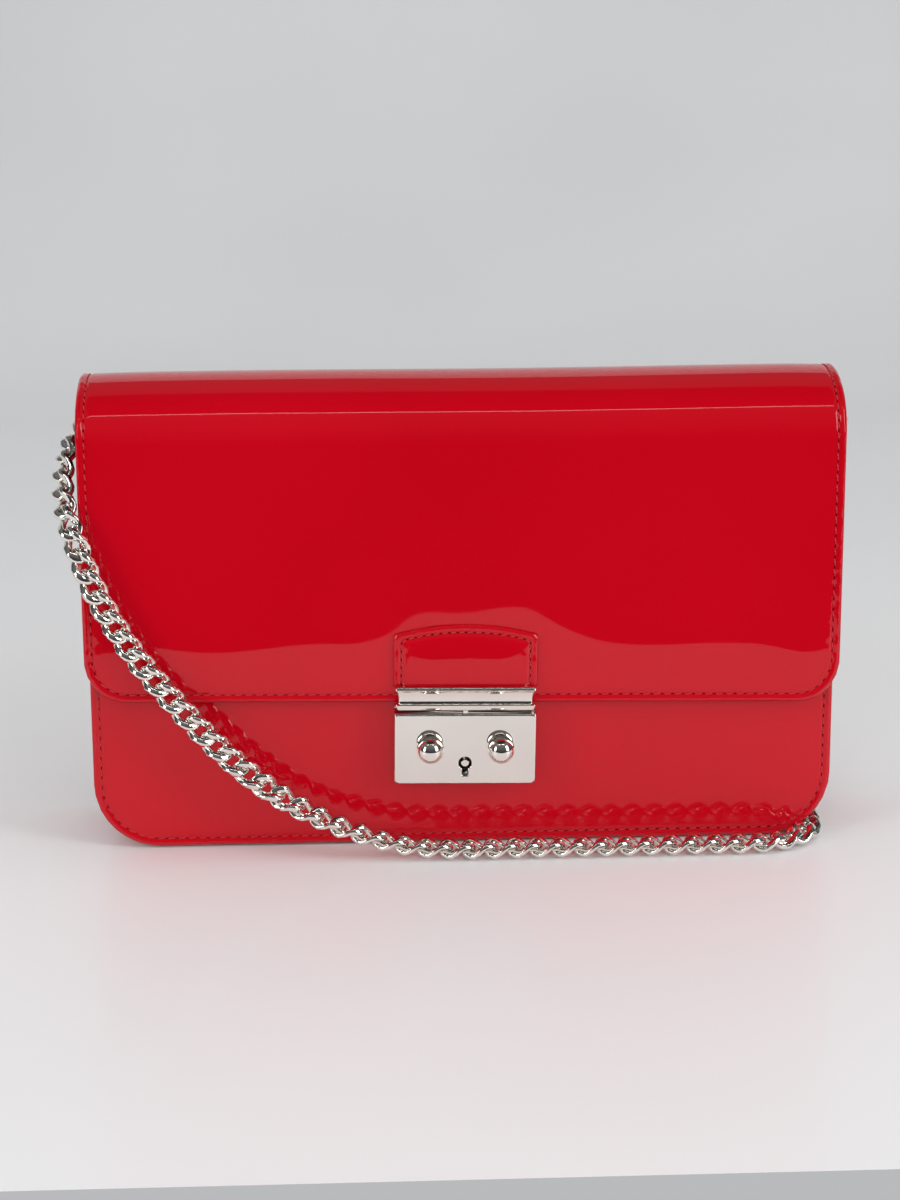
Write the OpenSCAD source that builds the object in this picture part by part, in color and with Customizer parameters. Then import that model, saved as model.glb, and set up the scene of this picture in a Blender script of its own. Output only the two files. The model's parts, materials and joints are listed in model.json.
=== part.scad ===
// Flap clutch with a chain strap, standing on its base.
// X is the width, -Y is the front, +Z is up. Millimetres.

/* [Body] */
// Width over the front and back panels
bag_w = 193; // [185:1:200]
// Depth from the front panel's face to the back panel's face
bag_d = 35.5; // [34:0.5:40]
// Height of the hinge line, where the flap starts
hinge_z = 106; // [104:1:108]
// Height of the front panel's hidden top edge
front_top_z = 103; // [100:1:103]
// How far the panels' edges stop above the floor
base_drop = 0.8; // [0.6:0.1:1.6]
// Corner radius at the bottom of the panels
corner_r = 17; // [15:1:19]

/* [Flap] */
// Width of the flap
flap_w = 195; // [194:1:202]
// Height of the flap's bottom edge at the middle
flap_edge_z = 39.4; // [39.2:0.1:39.6]
// Corner radius at the bottom of the flap
flap_corner_r = 11; // [8:1:14]
// Gap between the front panel's face and the flap's face
flap_stand = 4; // [3.9:0.1:4.2]
// Lean of the flap's bottom edge and of the lock, in degrees
lean = 0.9; // [0:0.1:1]

/* [Leather] */
// Thickness of the panels' patent leather
leather_t = 1.1; // [1:0.05:1.2]
// Thickness of the stiffening boards
board_t = 1; // [0.8:0.1:1]
// Thickness of the lining
lining_t = 0.6; // [0.5:0.05:0.6]
// Thickness of the flap's patent leather
flap_skin_t = 1.2; // [1:0.1:1.3]
// Thickness of the flap's leather lining
flap_lining_t = 1.7; // [1.6:0.05:1.7]

/* [Lock] */
// Width of the lock and of the hasp
lock_w = 36.4; // [34:0.2:38]
// Height of the lock
lock_h = 18.6; // [18:0.2:18.6]
// Height of the lock's middle above the floor
lock_z = 27.9; // [27.8:0.1:28.2]
// How far the lock plate's face stands ahead of the front panel
lock_proud = 7.4; // [7.2:0.1:7.6]
// How far the studs stand ahead of the lock plate
stud_proud = 6.2; // [6:0.1:6.4]
// Diameter of a ball stud
stud_d = 7.2; // [7:0.1:7.4]
// Distance of each stud from the lock's middle
stud_x = 9.1; // [9:0.1:10]

/* [Chain] */
// Diameter of the tube that a chain stretch fills
chain_d = 4.4; // [4:0.1:4.4]
// Length of the straight runs of the folded chain
hank_run = 100; // [92:1:100]

/* [Hidden] */
$fn = 64;
clear = 0.3;
depth = lock_proud + stud_proud + bag_d;
face_y = -depth / 2 + lock_proud + stud_proud;
back_y = face_y + bag_d;
mid_y = face_y + bag_d / 2;
half_w = bag_w / 2;
wall_t = leather_t + board_t + lining_t;
inner_front_y = face_y + wall_t;
inner_back_y = back_y - wall_t;

// gusset: a strip bent to a U between the two panels
gusset_inset = 2.5;
gusset_t = 1.2;
gusset_r = 15.2;
gusset_top_z = 102;
gusset_w = half_w - gusset_inset;
gusset_lining_t = 0.5;

// flap: its side profile is three tangent arcs over the bag's mouth
flap_y = face_y - flap_stand;
flap_depth = flap_stand + bag_d;
flap_t = flap_skin_t + flap_lining_t;
crown_r = 32;
crown = [21.5, 90.2];
front_arc_r = 13;
front_arc_z = crown[1] + sqrt(pow(crown_r - front_arc_r, 2) - pow(crown[0] - front_arc_r, 2));
back_arc_r = 9;
back_arc_z = crown[1] + sqrt(pow(crown_r - back_arc_r, 2) - pow(flap_depth - back_arc_r - crown[0], 2));
front_angle = atan2(front_arc_z - crown[1], front_arc_r - crown[0]);
back_angle = atan2(back_arc_z - crown[1], flap_depth - back_arc_r - crown[0]);
// each arc: centre behind the flap's face, centre height, radius, start angle, end angle
FLAP_ARCS = [
    [front_arc_r, front_arc_z, front_arc_r, front_angle, 180],
    [crown[0], crown[1], crown_r, back_angle, front_angle],
    [flap_depth - back_arc_r, back_arc_z, back_arc_r, 0, back_angle]
];
flap_board_inset = 7;
arc_steps = 14;

// lock, measured in its own frame from the middle of its seat on the front panel
plate_t = 1.2;
case_t = 1.2;
keyhole_z = -3.8;
stud_z = 0.6;
neck_r = 1;
stud_travel = 1.6;
bolt_y = -5.6;
bolt_t = 3.2;
bolt_w = 6.4;
spring_y = -3.9;
spring_r = 1.3;
spring_wire_r = 0.2;
seat_w = 2.4;
hasp_low = 10.2;
hasp_high = 16.5;
cove_deep = 0.9;
cove_half = 2.5;
cove_r = (pow(cove_half, 2) + pow(cove_deep, 2)) / (2 * cove_deep);
tab_half = 18.6;
tab_peak = 32.6;
tab_arch_r = 63.2;
screw_x = 12.5;
screw_z = 5;
screw_r = 1;
rivet_x = 11;
rivet_z = (hasp_low + hasp_high) / 2;

// strap rings, each hung in a leather tab on the gusset
tab_w = 7.6;
tab_low_z = 86;
ring_wire_r = 0.9;
ring_half = 5;
ring_leg = 1;
ring_x = gusset_w + 2.2;
ring_z = 104.5;
ring_tilt = 60;

// inner pockets and the zip
pocket_half = 78;
pocket_t = 0.8;
slip_y = inner_front_y + 1.9;
zip_y = inner_back_y - 2.6;
zip_z = 87;
zip_half = 70;
tape_t = 0.5;
tape_gap = 2.4;
tape_h = 7.4;
tooth_pitch = 2.5;
tooth_h = 2;
slider_x = 65;
pull_y = zip_y - 3.7;

// folded chain behind the bag: a spiral of long runs and round ends
hank_r = 24.6;
hank_x = 86 - chain_d / 2 - hank_r - hank_run / 2;
hank_y = 28.5 + hank_r;
hank_h = 5.2;
tie_w = 8;
tie_t = 0.6;
chain_sides = 8;

// the chain's route from the left ring, across the front and round to the fold
FRONT_ROUTE = [
    [-100.8, 0.5, 104.5], [-101.6, -5, 100], [-101.4, -10.5, 95.5], [-100.3, -15.5, 90.5],
    [-98, -18.2, 84], [-93.5, -18.8, 71.5], [-85.2, -18.8, 56.2], [-75, -19, 42.8], [-63, -19.3, 29.3],
    [-53, -19.8, 20.4], [-42.8, -20.6, 13.6], [-30, -21.6, 7.6], [-17, -22.4, 3.8], [-4, -22.8, 2.4],
    [15, -22.8, 2.4], [40, -22.8, 2.4], [60, -22.6, 2.4], [72, -22.6, 2.4], [80, -21.8, 2.4],
    [86.5, -18, 2.4], [90.6, -13, 2.4], [91.6, -8.5, 2.4], [91.6, 4, 2.4], [91.6, 18, 2.4],
    [91.2, 25, 2.4], [88.5, 29, 2.4], [83, 29, 2.4], [75, 28.6, 2.4], [58, 28.5, 2.4]
];
// and from the fold over its own turns up to the right ring
REAR_ROUTE = [
    [44, 71, 2.6], [56, 69, 5], [67, 63, 7.4], [76, 55.5, 8], [83.5, 47.5, 8], [90, 40.5, 12.5],
    [94.5, 35, 19.5], [97.5, 30.5, 29.5], [99.2, 27, 40.5], [99.8, 24, 52], [99.8, 21.5, 64],
    [99.8, 19.5, 76], [99.8, 18, 88], [99.7, 16.6, 99], [99.6, 15.4, 103.5]
];

// ---- shapes that repeat ----

// points of one round corner, counter-clockwise from angle a
function corner(x, z, r, a) = [for (i = [0:8]) [x + r * cos(a + i * 11.25), z + r * sin(a + i * 11.25)]];

// upright outline with round corners; its bottom edge leans by a few degrees
function outline(half, low, high, r_low, r_high, lean_deg = 0) = concat(
    corner(-half + r_low, low + r_low + half * tan(lean_deg), r_low, 180),
    corner(half - r_low, low + r_low - half * tan(lean_deg), r_low, 270),
    corner(half - r_high, high - r_high, r_high, 0),
    corner(-half + r_high, high - r_high, r_high, 90)
);

// a flat sheet that stands upright, from depth y0 to y1
module upright(points, y0, y1) {
    translate([0, y1, 0])
        rotate([90, 0, 0])
            linear_extrude(y1 - y0)
                polygon(points);
}

// a block given by its low and high corners
module block(low, high) {
    translate(low)
        cube(high - low);
}

// a round rod along Y
module rod_y(x, z, r, y0, y1) {
    translate([x, y1, z])
        rotate([90, 0, 0])
            cylinder(h = y1 - y0, r = r);
}

// what follows stands in the lock's own frame
module lock_frame() {
    translate([0, face_y, lock_z])
        rotate([0, lean, 0])
            children();
}

// a tube swept along a route of points
function unit(v) = v / norm(v);
function along(p, i) = unit(p[min(i + 1, len(p) - 1)] - p[max(i - 1, 0)]);
function side_of(t) = unit(cross(t, abs(t[2]) < 0.9 ? [0, 0, 1] : [0, 1, 0]));
function carry(side, t) = unit(side - t * (side * t));
function sides_along(p, i = 0, side = undef) =
    let (s = i == 0 ? side_of(along(p, 0)) : carry(side, along(p, i)))
    i == len(p) - 1 ? [s] : concat([s], sides_along(p, i + 1, s));
function tube_points(p, r, n) =
    let (s = sides_along(p))
    [for (i = [0:len(p) - 1]) for (k = [0:n - 1])
        p[i] + r * (cos(360 * k / n) * s[i] + sin(360 * k / n) * cross(along(p, i), s[i]))];
function tube_faces(m, n) = concat(
    [[for (k = [0:n - 1]) k]],
    [for (i = [0:m - 2]) for (k = [0:n - 1])
        [i * n + k, (i + 1) * n + k, (i + 1) * n + (k + 1) % n, i * n + (k + 1) % n]],
    [[for (k = [n - 1:-1:0]) (m - 1) * n + k]]
);
module tube(route, r, n) {
    polyhedron(tube_points(route, r, n), tube_faces(len(route), n), 4);
}

// ---- body ----

module panel_holes() {
    lock_frame()
        for (x = [-screw_x, screw_x], z = [-screw_z, screw_z])
            rod_y(x, z, screw_r + 0.05, -1, wall_t + 1);
}

module front_panel() {
    color("crimson")
        difference() {
            upright(outline(half_w, base_drop, front_top_z, corner_r, 6), face_y, face_y + leather_t);
            panel_holes();
        }
}

module back_panel() {
    color("crimson")
        upright(outline(half_w, base_drop, hinge_z, corner_r, 1), back_y - leather_t, back_y);
}

// outline of the sheets that lie inside the gusset
function inner_outline(high) =
    outline(gusset_w - gusset_t - 0.05, gusset_t + 0.05, high, gusset_r - gusset_t, 3);

module front_board() {
    color("tan")
        difference() {
            upright(inner_outline(front_top_z - 2), face_y + leather_t, face_y + leather_t + board_t);
            panel_holes();
        }
}

module front_lining() {
    color("firebrick")
        difference() {
            upright(inner_outline(front_top_z - 1), inner_front_y - lining_t, inner_front_y);
            panel_holes();
        }
}

module back_board() {
    color("tan")
        upright(inner_outline(hinge_z - 3), inner_back_y + lining_t, back_y - leather_t);
}

module back_lining() {
    color("firebrick")
        upright(inner_outline(hinge_z - 2), inner_back_y, inner_back_y + lining_t);
}

// a U-shaped strip of one thickness
module u_strip(half, low, r, t, high, y0, y1) {
    difference() {
        upright(outline(half, low, high, r, 0.5), y0, y1);
        upright(outline(half - t, low + t, high + 9, r - t, 0.5), y0 - 1, y1 + 1);
    }
}

module gusset() {
    color("crimson")
        u_strip(gusset_w, 0, gusset_r, gusset_t, gusset_top_z, face_y + leather_t, back_y - leather_t);
}

module gusset_lining() {
    color("firebrick")
        u_strip(gusset_w - gusset_t, gusset_t, gusset_r - gusset_t, gusset_lining_t,
            gusset_top_z - 1, inner_front_y, inner_back_y);
}

// ---- inner pockets and zip ----

module slip_pocket() {
    color("firebrick")
        difference() {
            upright(outline(pocket_half, 7, 72, 10, 1), inner_front_y, slip_y + pocket_t);
            upright(outline(pocket_half - 3, 10, 74, 8, 1), inner_front_y - 1, slip_y);
        }
}

module zip_pocket() {
    color("firebrick")
        difference() {
            upright(outline(pocket_half, 9, 83, 8, 1), zip_y - tape_t / 2 - pocket_t, inner_back_y);
            upright(outline(pocket_half - 3, 12, 86, 6, 1), zip_y - tape_t / 2, inner_back_y + 1);
        }
}

module zip_facing() {
    color("firebrick")
        difference() {
            block([-pocket_half, zip_y - tape_t / 2 - pocket_t, 91.5], [pocket_half, inner_back_y, 99]);
            block([-zip_half - 3, zip_y - tape_t / 2, 90], [zip_half + 3, zip_y + tape_t / 2, 96]);
        }
}

module zip_tape(low) {
    color("darkred")
        block([-zip_half - 2.9, zip_y - tape_t / 2, low], [zip_half + 2.9, zip_y + tape_t / 2, low + tape_h]);
}

module zip_tape_upper() {
    zip_tape(zip_z + tape_gap / 2);
}

module zip_tape_lower() {
    zip_tape(zip_z - tape_gap / 2 - tape_h);
}

// two rows of meshed teeth on a cord; they end where the slider's bridge stands
module zip_teeth() {
    row = slider_x + zip_half;
    color("silver") {
        block([-zip_half, zip_y - 0.4, zip_z - 0.4], [slider_x, zip_y + 0.4, zip_z + 0.4]);
        for (i = [0:floor(row / tooth_pitch) - 1])
            translate([-zip_half + (i + 0.5) * tooth_pitch, zip_y, zip_z + (i % 2 == 0 ? 0.15 : -0.15)])
                cube([1.3, 1.5, tooth_h], center = true);
    }
}

module zip_stop(x) {
    color("silver")
        difference() {
            translate([x, zip_y, zip_z])
                cube([1.6, 1.6, 3.6], center = true);
            for (side = [-1, 1])
                translate([x, zip_y, zip_z + side * (tape_gap / 2 + 2)])
                    cube([4, tape_t, 4], center = true);
        }
}

// two plates joined by a bridge that runs between the tapes, and a bail in front
module zip_slider() {
    color("silver")
        union() {
            block([slider_x - 5, zip_y - 2.1, zip_z - 3.4], [slider_x + 4, zip_y - 1.2, zip_z + 3.4]);
            block([slider_x - 5, zip_y + 1.05, zip_z - 3.4], [slider_x + 4, zip_y + 1.85, zip_z + 3.4]);
            block([slider_x + 1.5, zip_y - 1.3, zip_z - 0.45], [slider_x + 3.5, zip_y + 1.3, zip_z + 0.45]);
            for (side = [-1, 1])
                translate([slider_x, zip_y - 3.1, zip_z + side * 1.9])
                    cube([1.6, 2.4, 0.8], center = true);
            translate([slider_x, pull_y, zip_z - 2])
                cylinder(h = 4, r = 0.5);
        }
}

module zip_pull() {
    color("silver")
        difference() {
            union() {
                translate([slider_x, pull_y, zip_z - 1.2])
                    cylinder(h = 2.4, r = 1.1);
                block([slider_x - 6, pull_y - 0.5, zip_z - 1.2], [slider_x, pull_y + 0.5, zip_z + 1.2]);
                translate([slider_x - 11, pull_y + 0.5, zip_z])
                    rotate([90, 0, 0])
                        linear_extrude(1)
                            polygon([[-6, -1.9], [-6, 1.9], [5.2, 2.4], [5.2, -2.4]]);
            }
            translate([slider_x, pull_y, zip_z - 2])
                cylinder(h = 4, r = 0.56);
        }
}

// ---- flap ----

// points of one arc of the flap's side profile, at a depth t below its outer face
function flap_arc(arc, t) = [
    for (i = [1:arc_steps])
        let (a = arc[4] + (arc[3] - arc[4]) * (i - 0.5) / arc_steps)
            [arc[0] + (arc[2] - t) * cos(a), arc[1] + (arc[2] - t) * sin(a)]
];

// the line of the flap at a depth t: up the front, over the mouth and down to the hinge
function flap_line(t) = concat(
    [[t, flap_edge_z - 5], [t, front_arc_z]],
    flap_arc(FLAP_ARCS[0], t),
    flap_arc(FLAP_ARCS[1], t),
    flap_arc(FLAP_ARCS[2], t),
    [[flap_depth - t, back_arc_z], [flap_depth - t, hinge_z + clear]]
);
function backwards(list) = [for (i = [len(list) - 1:-1:0]) list[i]];

// a layer of the flap between two depths, trimmed to the flap's round corners
module flap_layer(t0, t1) {
    intersection() {
        translate([-flap_w / 2, flap_y, 0])
            rotate([90, 0, 90])
                linear_extrude(flap_w)
                    polygon(concat(flap_line(t0), backwards(flap_line(t1))));
        upright(outline(flap_w / 2, flap_edge_z, 140, flap_corner_r, 1, lean), flap_y - 1, back_y + 1);
    }
}

module rivet_holes() {
    lock_frame()
        for (x = [-rivet_x, rivet_x])
            rod_y(x, rivet_z, 1.05, -flap_stand - 0.2, 0);
}

module flap_skin() {
    color("crimson")
        difference() {
            flap_layer(0, flap_skin_t);
            rivet_holes();
        }
}

module flap_board_shape(grow) {
    upright(
        outline(flap_w / 2 - flap_board_inset + grow, flap_edge_z + 12 - grow, front_arc_z - 2 + grow, 5, 2),
        flap_y + flap_skin_t, flap_y + flap_skin_t + board_t - 0.2 + grow);
}

module flap_board() {
    color("tan")
        flap_board_shape(0);
}

module flap_lining() {
    color("firebrick")
        difference() {
            flap_layer(flap_skin_t, flap_t);
            flap_board_shape(0.02);
            rivet_holes();
        }
}

// arched leather tab on the flap, just above the hasp
module hasp_tab() {
    color("crimson")
        lock_frame()
            intersection() {
                upright(outline(tab_half, hasp_high + 0.02, tab_peak, 0.5, 0.5), -flap_stand - 1.6, -flap_stand);
                rod_y(0, tab_peak - tab_arch_r, tab_arch_r, -9, 0);
            }
}

// ---- hasp and lock ----

// the hasp: a bar with a hollow moulding round its front and ends
module hasp() {
    color("silver")
        lock_frame() {
            difference() {
                block([-lock_w / 2, -lock_proud, hasp_low], [lock_w / 2, -flap_stand, hasp_high]);
                translate([-lock_w, -lock_proud - cove_r + cove_deep, rivet_z])
                    rotate([0, 90, 0])
                        cylinder(h = 2 * lock_w, r = cove_r);
                for (side = [-1, 1])
                    rod_y(side * (lock_w / 2 + cove_r - cove_deep), rivet_z, cove_r, -9, 0);
                for (x = [-rivet_x, rivet_x])
                    rod_y(x, rivet_z, 1, -5, 0);
            }
            block([-lock_w / 2, -flap_stand, hasp_low], [lock_w / 2, -clear, hasp_low + 0.3]);
            block([-0.65, -6.9, hasp_low - 0.7], [0.65, -5.5, hasp_low]);
        }
}

module hasp_backplate() {
    color("silver")
        lock_frame()
            difference() {
                block([-16, -flap_stand + flap_t, hasp_low + 0.7], [16, -clear, hasp_high - 0.2]);
                for (x = [-rivet_x, rivet_x])
                    rod_y(x, rivet_z, 1, -5, 0);
            }
}

module hasp_rivet(x) {
    color("silver")
        lock_frame()
            rod_y(x, rivet_z, 1, -5, -clear);
}

module lock_case() {
    color("silver")
        lock_frame()
            difference() {
                block([-lock_w / 2, -lock_proud + plate_t, -lock_h / 2], [lock_w / 2, 0, lock_h / 2]);
                difference() {
                    block([-lock_w / 2 + 1.5, -lock_proud, -lock_h / 2 + 1.7],
                        [lock_w / 2 - 1.5, -case_t, lock_h / 2 - 1.7]);
                    block([-seat_w / 2, -6, -1.6], [seat_w / 2, 0, 1.6]);
                }
                for (x = [-screw_x, screw_x], z = [-screw_z, screw_z])
                    rod_y(x, z, screw_r, -case_t - 1, 1);
            }
}

// the face: two hidden slots for the studs' necks and a keyhole
module lock_plate() {
    color("silver")
        lock_frame()
            difference() {
                upright(outline(lock_w / 2, -lock_h / 2, lock_h / 2, 1.2, 0.4),
                    -lock_proud, -lock_proud + plate_t);
                rod_y(0, keyhole_z, 1.7, -9, 0);
                block([-0.75, -9, keyhole_z - 3.4], [0.75, 0, keyhole_z]);
                for (side = [-1, 1]) {
                    rod_y(side * stud_x, stud_z, neck_r + 0.05, -9, 0);
                    rod_y(side * (stud_x - stud_travel), stud_z, neck_r + 0.05, -9, 0);
                    translate([side * (stud_x - stud_travel / 2), -7, stud_z])
                        cube([stud_travel, 4, 2 * neck_r + 0.1], center = true);
                }
            }
}

module key_post() {
    color("silver")
        lock_frame()
            rod_y(0, keyhole_z, 1.05, -lock_proud + 0.4, -case_t);
}

module lock_backplate() {
    color("silver")
        lock_frame()
            difference() {
                block([-15.5, wall_t, -7.5], [15.5, wall_t + 0.8, 7.5]);
                for (x = [-screw_x, screw_x], z = [-screw_z, screw_z])
                    rod_y(x, z, screw_r + 0.05, 0, 9);
            }
}

module lock_screw(x, z) {
    color("silver")
        lock_frame() {
            rod_y(x, z, screw_r, -case_t + 0.1, wall_t + 0.8);
            rod_y(x, z, 1.8, wall_t + 0.8, wall_t + 1.5);
        }
}

// a ball with a flat back on a neck that reaches into the bolt
module stud(side) {
    color("silver")
        lock_frame()
            union() {
                difference() {
                    translate([side * stud_x, -lock_proud - stud_proud + stud_d / 2, stud_z])
                        sphere(d = stud_d);
                    block([side * stud_x - 5, -lock_proud - 0.15, -9], [side * stud_x + 5, 0, 9]);
                }
                rod_y(side * stud_x, stud_z, neck_r, -lock_proud - 0.5, bolt_y + 2);
            }
}

module bolt(side) {
    color("goldenrod")
        lock_frame()
            difference() {
                union() {
                    translate([side * stud_x, bolt_y + bolt_t / 2, stud_z])
                        cube([bolt_w, bolt_t, 4], center = true);
                    translate([side * (stud_x + 1.7), bolt_y + bolt_t / 2, stud_z + 4])
                        cube([3, bolt_t, 5], center = true);
                }
                rod_y(side * stud_x, stud_z, neck_r, bolt_y - 1, bolt_y + 2);
            }
}

// a coil between the case's seat and the left bolt
module lock_spring() {
    start = seat_w / 2 + spring_wire_r + 0.05;
    end = stud_x - bolt_w / 2 - spring_wire_r - 0.05;
    tube([for (i = [0:48])
        [-start - (end - start) * i / 48, spring_y + spring_r * cos(i * 30), spring_r * sin(i * 30)]],
        spring_wire_r, 5);
}

module left_spring() {
    color("gray")
        lock_frame()
            lock_spring();
}

module right_spring() {
    color("gray")
        lock_frame()
            translate([0, 2 * spring_y, 0])
                rotate([0, 0, 180])
                    lock_spring();
}

// ---- strap rings ----

module ring_tab(side) {
    color("crimson")
        translate([side * ring_x, mid_y, 0])
            difference() {
                union() {
                    translate([0, tab_w / 2, ring_z])
                        rotate([90, 0, 0])
                            cylinder(h = tab_w, r = 2.15);
                    translate([side * -0.97, 0, (tab_low_z + ring_z) / 2])
                        cube([2.4, tab_w, ring_z - tab_low_z], center = true);
                }
                translate([0, tab_w, ring_z])
                    rotate([90, 0, 0])
                        cylinder(h = 2 * tab_w, r = ring_wire_r + 0.06);
            }
}

// a D of round wire whose straight side turns in the tab
module strap_ring(side) {
    color("silver")
        translate([side * ring_x, mid_y, ring_z])
            rotate([0, side * (90 - ring_tilt), 0]) {
                rotate([90, 0, 0])
                    translate([0, 0, -ring_half])
                        cylinder(h = 2 * ring_half, r = ring_wire_r);
                for (y = [-ring_half, ring_half])
                    translate([0, y, 0]) {
                        sphere(r = ring_wire_r);
                        cylinder(h = ring_leg, r = ring_wire_r);
                    }
                translate([0, 0, ring_leg])
                    rotate([90, 0, 90])
                        rotate_extrude(angle = 180)
                            translate([ring_half, 0])
                                circle(r = ring_wire_r);
            }
}

// ---- chain ----

module chain_front() {
    color("silver")
        tube(FRONT_ROUTE, chain_d / 2, chain_sides);
}

module chain_rear() {
    color("silver")
        tube(REAR_ROUTE, chain_d / 2, chain_sides);
}

module hank_outline() {
    half = hank_run / 2;
    r = hank_r + chain_d / 2;
    translate([hank_x, hank_y]) {
        square([2 * half, 2 * r], center = true);
        for (side = [-1, 1])
            translate([side * half, 0])
                circle(r = r);
    }
}

module chain_hank() {
    gap = tie_w / 2 + 0.1;
    color("silver")
        difference() {
            linear_extrude(hank_h)
                hank_outline();
            block([hank_x - gap, 0, -1], [hank_x + gap, 200, tie_t + 0.05]);
        }
}

// the band round the middle of the folded chain
module chain_tie() {
    half_y = hank_r + chain_d / 2;
    color("white")
        difference() {
            block([hank_x - tie_w / 2, hank_y - half_y - tie_t, 0],
                [hank_x + tie_w / 2, hank_y + half_y + tie_t, hank_h + tie_t]);
            block([hank_x - tie_w, hank_y - half_y, tie_t], [hank_x + tie_w, hank_y + half_y, hank_h]);
        }
}

// ---- what is drawn ----

front_panel();
front_board();
front_lining();
back_panel();
back_board();
back_lining();
gusset();
gusset_lining();
slip_pocket();
zip_pocket();
zip_facing();
zip_tape_upper();
zip_tape_lower();
zip_teeth();
zip_stop(-zip_half - 1.5);  // zip_stop_left
zip_stop(zip_half + 1.5);  // zip_stop_right
zip_slider();
zip_pull();
flap_skin();
flap_board();
flap_lining();
hasp_tab();
hasp();
hasp_backplate();
hasp_rivet(-rivet_x);  // hasp_rivet_left
hasp_rivet(rivet_x);  // hasp_rivet_right
lock_case();
lock_plate();
lock_backplate();
key_post();
lock_screw(-screw_x, -screw_z);  // lock_screw_1
lock_screw(screw_x, -screw_z);  // lock_screw_2
lock_screw(-screw_x, screw_z);  // lock_screw_3
lock_screw(screw_x, screw_z);  // lock_screw_4
stud(-1);  // left_stud
bolt(-1);  // left_bolt
left_spring();
stud(1);  // right_stud
bolt(1);  // right_bolt
right_spring();
ring_tab(-1);  // ring_tab_left
ring_tab(1);  // ring_tab_right
strap_ring(-1);  // left_ring
strap_ring(1);  // right_ring
chain_front();
chain_hank();
chain_rear();
chain_tie();
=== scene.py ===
"""Red patent-leather flap clutch with a squeeze lock and a curb chain, on a pale floor."""
import json
import math

import bmesh
import bpy
from mathutils import Matrix, Vector


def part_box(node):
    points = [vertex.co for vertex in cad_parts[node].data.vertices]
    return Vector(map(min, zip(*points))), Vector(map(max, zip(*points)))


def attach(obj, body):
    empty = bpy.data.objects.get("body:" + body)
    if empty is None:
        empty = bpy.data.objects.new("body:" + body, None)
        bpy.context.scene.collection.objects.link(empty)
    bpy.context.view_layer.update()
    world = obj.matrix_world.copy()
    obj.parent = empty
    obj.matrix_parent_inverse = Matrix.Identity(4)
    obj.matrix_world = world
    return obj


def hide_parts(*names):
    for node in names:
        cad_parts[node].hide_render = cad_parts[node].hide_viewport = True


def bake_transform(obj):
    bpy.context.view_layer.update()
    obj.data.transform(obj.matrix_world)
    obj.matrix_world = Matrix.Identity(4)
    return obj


MM = 0.001
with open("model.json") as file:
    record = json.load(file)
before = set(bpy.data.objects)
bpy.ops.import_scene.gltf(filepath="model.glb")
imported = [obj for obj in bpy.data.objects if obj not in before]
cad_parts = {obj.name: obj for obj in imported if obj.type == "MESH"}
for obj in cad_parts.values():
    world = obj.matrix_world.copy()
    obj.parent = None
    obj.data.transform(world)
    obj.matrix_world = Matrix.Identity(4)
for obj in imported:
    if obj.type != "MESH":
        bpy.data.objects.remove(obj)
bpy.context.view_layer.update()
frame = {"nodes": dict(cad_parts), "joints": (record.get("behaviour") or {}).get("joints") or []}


# ---------------------------------------------------------------- sizes from the frame
def low_high(node):
    low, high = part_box(node)
    return Vector(low), Vector(high)


front_low, front_high = low_high("front_panel")
back_low, back_high = low_high("back_panel")
skin_low, skin_high = low_high("flap_skin")
gusset_low, gusset_high = low_high("gusset")
plate_low, plate_high = low_high("lock_plate")
hank_low, hank_high = low_high("chain_hank")
joints = {j["name"]: j for j in frame["joints"]}

face_y = front_low.y
back_y = back_high.y
mid_y = (face_y + back_y) / 2
panel_half = front_high.x
base_z = front_low.z
hinge = Vector(joints["flap_hinge"]["pos_m"])
flap_half = skin_high.x
flap_y = skin_low.y
lean = math.radians(0.9)
lock_z = (plate_low.z + plate_high.z) / 2
lock_mm = Matrix.Translation((0, face_y, lock_z)) @ Matrix.Rotation(lean, 4, "Y") @ Matrix.Scale(MM, 4)


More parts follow.
